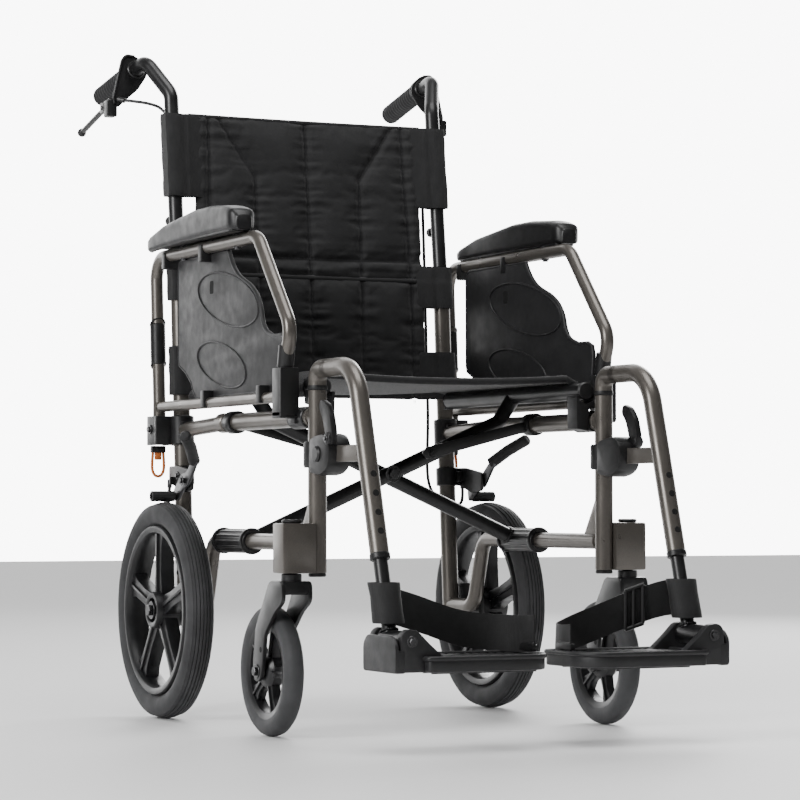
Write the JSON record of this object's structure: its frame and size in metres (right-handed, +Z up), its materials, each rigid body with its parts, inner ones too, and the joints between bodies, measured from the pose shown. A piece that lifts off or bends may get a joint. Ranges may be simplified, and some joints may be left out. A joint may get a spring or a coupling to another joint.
{
  "type": "transport wheelchair",
  "caption": "Folding transport wheelchair with swing-away legrests, flip-back arms, a half-folding back, castors and attendant brakes.",
  "frame": {"origin": "on the floor under the middle of the chair", "axes": "+Z up, the chair faces -Y, +X towards its own left"},
  "size_m": [0.596, 1.108, 1.016],
  "materials": {
    "bronze": "metallic satin champagne paint",
    "black_metal": "satin black powder coat",
    "tyre": "matt grey rubber",
    "castor": "grey rubber on a black hub",
    "wheel_plastic": "satin charcoal nylon",
    "black_plastic": "satin moulded plastic",
    "grip": "ribbed soft rubber",
    "cable": "smooth black sheath",
    "arm_pad": "soft polyurethane skin",
    "guard": "finely textured moulded plastic",
    "orange": "woven pull loop",
    "footplate": "textured moulded plastic",
    "webbing": "woven polyester webbing",
    "lever_steel": "plated steel",
    "bolt_steel": "zinc plated",
    "nylon": "quilted nylon"
  },
  "bodies": {
    "frame_r": {"side_frame_r": "bronze", "axle_housing_r": "black_metal", "seat_saddle_r": "black_plastic", "arm_clamp_r": "black_plastic", "arm_socket_r": "black_plastic", "brake_bracket_r": "black_metal", "brake_cable_r": "cable", "back_lower_cover": "nylon"},
    "arm_a": {"brace_arm_a": "black_metal", "brace_bolt": "bolt_steel"},
    "arm_b": {"brace_arm_b": "black_metal"},
    "frame_l": {"side_frame_l": "bronze", "axle_housing_l": "black_metal", "seat_saddle_l": "black_plastic", "arm_clamp_l": "black_plastic", "arm_socket_l": "black_plastic", "brake_bracket_l": "black_metal", "brake_cable_l": "cable"},
    "seat": {"seat_cover": "nylon"},
    "link_r": {"brace_link_r": "black_metal"},
    "link_l": {"brace_link_l": "black_metal"},
    "back_r": {"upper_cane_r": "black_metal", "grip_r": "grip", "lever_bracket_r": "black_metal", "back_upper_cover": "nylon"},
    "knob_r": {"back_knob_r": "black_plastic"},
    "hand_lever_r": {"brake_lever_r": "black_metal"},
    "armrest_r": {"arm_frame_r": "bronze", "arm_pad_r": "arm_pad", "side_guard_r": "guard"},
    "release_r": {"arm_release_r": "orange"},
    "leg_r": {"hanger_r": "bronze"},
    "latch_r": {"hanger_latch_r": "black_plastic"},
    "extension_r": {"leg_extension_r": "black_metal", "heel_strap_r": "webbing"},
    "plate_r": {"footplate_r": "footplate"},
    "fork_r": {"castor_fork_r": "black_metal"},
    "castor_r": {"castor_wheel_r": "castor"},
    "wheel_r": {"rear_tyre_r": "tyre", "rear_rim_r": "wheel_plastic"},
    "park_r": {"parking_lever_r": "lever_steel"},
    "back_l": {"upper_cane_l": "black_metal", "grip_l": "grip", "lever_bracket_l": "black_metal"},
    "knob_l": {"back_knob_l": "black_plastic"},
    "hand_lever_l": {"brake_lever_l": "black_metal"},
    "armrest_l": {"arm_frame_l": "bronze", "arm_pad_l": "arm_pad", "side_guard_l": "guard"},
    "release_l": {"arm_release_l": "orange"},
    "leg_l": {"hanger_l": "bronze"},
    "latch_l": {"hanger_latch_l": "black_plastic"},
    "extension_l": {"leg_extension_l": "black_metal", "heel_strap_l": "webbing"},
    "plate_l": {"footplate_l": "footplate"},
    "fork_l": {"castor_fork_l": "black_metal"},
    "castor_l": {"castor_wheel_l": "castor"},
    "wheel_l": {"rear_tyre_l": "tyre", "rear_rim_l": "wheel_plastic"},
    "park_l": {"parking_lever_l": "lever_steel"}
  },
  "joints": [
    {"name": "fold", "type": "hinge", "parent": "frame_r", "child": "arm_a", "pos_m": [-0.222, 0.013, 0.264], "axis": [0, -1, 0], "range_deg": [0, 42], "deforming": ["seat_cover", "back_lower_cover", "back_upper_cover"]},
    {"name": "brace_cross", "type": "hinge", "parent": "arm_a", "child": "arm_b", "pos_m": [0, 0.013, 0.361], "axis": [0, -1, 0], "range_deg": [-84, 0]},
    {"name": "frame_follow", "type": "hinge", "parent": "arm_b", "child": "frame_l", "pos_m": [0.222, 0.013, 0.264], "axis": [0, -1, 0], "range_deg": [0, 42]},
    {"name": "seat_rise", "type": "slide", "parent": "frame_r", "child": "seat", "axis": [0, 0, 1], "range_m": [0, 0.232]},
    {"name": "link_turn_l", "type": "hinge", "parent": "frame_l", "child": "link_l", "pos_m": [0.222, -0.029, 0.435], "axis": [0, 1, 0], "range_deg": [0, 69]},
    {"name": "link_turn_r", "type": "hinge", "parent": "frame_r", "child": "link_r", "pos_m": [-0.222, 0.051, 0.435], "axis": [0, -1, 0], "range_deg": [0, 69]},
    {"name": "back_fold_r", "type": "hinge", "parent": "frame_r", "child": "back_r", "pos_m": [-0.222, 0.283, 0.668], "axis": [-1, 0, 0], "range_deg": [0, 120], "deforming": ["brake_cable_r"]},
    {"name": "back_knob_pull_r", "type": "slide", "parent": "back_r", "child": "knob_r", "axis": [0, 1, 0], "range_m": [0, 0.005], "stiffness_N_per_m": 900},
    {"name": "hand_brake_r", "type": "hinge", "parent": "back_r", "child": "hand_lever_r", "pos_m": [-0.285, 0.433, 0.934], "axis": [1, 0, 0], "range_deg": [0, 9], "stiffness_Nm_per_rad": 4, "springref_deg": -20.05},
    {"name": "armrest_flip_r", "type": "hinge", "parent": "frame_r", "child": "armrest_r", "pos_m": [-0.248, 0.294, 0.43], "axis": [1, 0, 0], "range_deg": [-80, 0]},
    {"name": "armrest_release_r", "type": "slide", "parent": "frame_r", "child": "release_r", "axis": [0, 0, -1], "range_m": [0, 0.006], "stiffness_N_per_m": 600},
    {"name": "legrest_swing_r", "type": "hinge", "parent": "frame_r", "child": "leg_r", "pos_m": [-0.222, -0.242, 0.43], "axis": [0, 0, 1], "range_deg": [-90, 0]},
    {"name": "legrest_latch_r", "type": "hinge", "parent": "leg_r", "child": "latch_r", "pos_m": [-0.233, -0.313, 0.404], "axis": [1, 0, 0], "range_deg": [0, 14], "stiffness_Nm_per_rad": 2, "springref_deg": -11.46},
    {"name": "footrest_height_r", "type": "slide", "parent": "leg_r", "child": "extension_r", "axis": [0, -0.2873, -0.9578], "range_m": [-0.025, 0.05]},
    {"name": "footplate_flip_r", "type": "hinge", "parent": "extension_r", "child": "plate_r", "pos_m": [-0.222, -0.489, 0.143], "axis": [0, -1, 0], "range_deg": [0, 90], "deforming": ["heel_strap_r"]},
    {"name": "castor_swivel_r", "type": "hinge", "parent": "frame_r", "child": "fork_r", "pos_m": [-0.26, -0.242, 0.24], "axis": [0, 0, 1], "continuous": true},
    {"name": "castor_roll_r", "type": "hinge", "parent": "fork_r", "child": "castor_r", "pos_m": [-0.26, -0.1745, 0.089], "axis": [1, 0, 0], "continuous": true},
    {"name": "wheel_roll_r", "type": "hinge", "parent": "frame_r", "child": "wheel_r", "pos_m": [-0.27, 0.211, 0.16], "axis": [1, 0, 0], "continuous": true},
    {"name": "parking_brake_r", "type": "hinge", "parent": "frame_r", "child": "park_r", "pos_m": [-0.246, 0.191, 0.352], "axis": [1, 0, 0], "range_deg": [0, 15]},
    {"name": "back_fold_l", "type": "hinge", "parent": "frame_l", "child": "back_l", "pos_m": [0.222, 0.283, 0.668], "axis": [-1, 0, 0], "range_deg": [0, 120], "deforming": ["brake_cable_l"]},
    {"name": "back_knob_pull_l", "type": "slide", "parent": "back_l", "child": "knob_l", "axis": [0, 1, 0], "range_m": [0, 0.005], "stiffness_N_per_m": 900},
    {"name": "hand_brake_l", "type": "hinge", "parent": "back_l", "child": "hand_lever_l", "pos_m": [0.285, 0.433, 0.934], "axis": [1, 0, 0], "range_deg": [0, 9], "stiffness_Nm_per_rad": 4, "springref_deg": -20.05},
    {"name": "armrest_flip_l", "type": "hinge", "parent": "frame_l", "child": "armrest_l", "pos_m": [0.248, 0.294, 0.43], "axis": [1, 0, 0], "range_deg": [-80, 0]},
    {"name": "armrest_release_l", "type": "slide", "parent": "frame_l", "child": "release_l", "axis": [0, 0, -1], "range_m": [0, 0.006], "stiffness_N_per_m": 600},
    {"name": "legrest_swing_l", "type": "hinge", "parent": "frame_l", "child": "leg_l", "pos_m": [0.222, -0.242, 0.43], "axis": [0, 0, 1], "range_deg": [0, 90]},
    {"name": "legrest_latch_l", "type": "hinge", "parent": "leg_l", "child": "latch_l", "pos_m": [0.233, -0.313, 0.404], "axis": [1, 0, 0], "range_deg": [0, 14], "stiffness_Nm_per_rad": 2, "springref_deg": -11.46},
    {"name": "footrest_height_l", "type": "slide", "parent": "leg_l", "child": "extension_l", "axis": [0, -0.2873, -0.9578], "range_m": [-0.025, 0.05]},
    {"name": "footplate_flip_l", "type": "hinge", "parent": "extension_l", "child": "plate_l", "pos_m": [0.222, -0.489, 0.143], "axis": [0, 1, 0], "range_deg": [0, 90], "deforming": ["heel_strap_l"]},
    {"name": "castor_swivel_l", "type": "hinge", "parent": "frame_l", "child": "fork_l", "pos_m": [0.26, -0.242, 0.24], "axis": [0, 0, 1], "continuous": true},
    {"name": "castor_roll_l", "type": "hinge", "parent": "fork_l", "child": "castor_l", "pos_m": [0.26, -0.1745, 0.089], "axis": [1, 0, 0], "continuous": true},
    {"name": "wheel_roll_l", "type": "hinge", "parent": "frame_l", "child": "wheel_l", "pos_m": [0.27, 0.211, 0.16], "axis": [1, 0, 0], "continuous": true},
    {"name": "parking_brake_l", "type": "hinge", "parent": "frame_l", "child": "park_l", "pos_m": [0.246, 0.191, 0.352], "axis": [1, 0, 0], "range_deg": [0, 15]}
  ],
  "couplings": [
    {"joint": "brace_cross", "follows": "fold", "ratio": -2},
    {"joint": "frame_follow", "follows": "fold", "ratio": 1},
    {"joint": "seat_rise", "follows": "fold", "m_per_rad": 0.3144},
    {"joint": "link_turn_l", "follows": "fold", "ratio": 1.64},
    {"joint": "link_turn_r", "follows": "fold", "ratio": 1.64},
    {"joint": "footplate_flip_r", "follows": "fold", "ratio": 2.14},
    {"joint": "footplate_flip_l", "follows": "fold", "ratio": 2.14},
    {"joint": "back_fold_l", "follows": "back_fold_r", "ratio": 1}
  ]
}
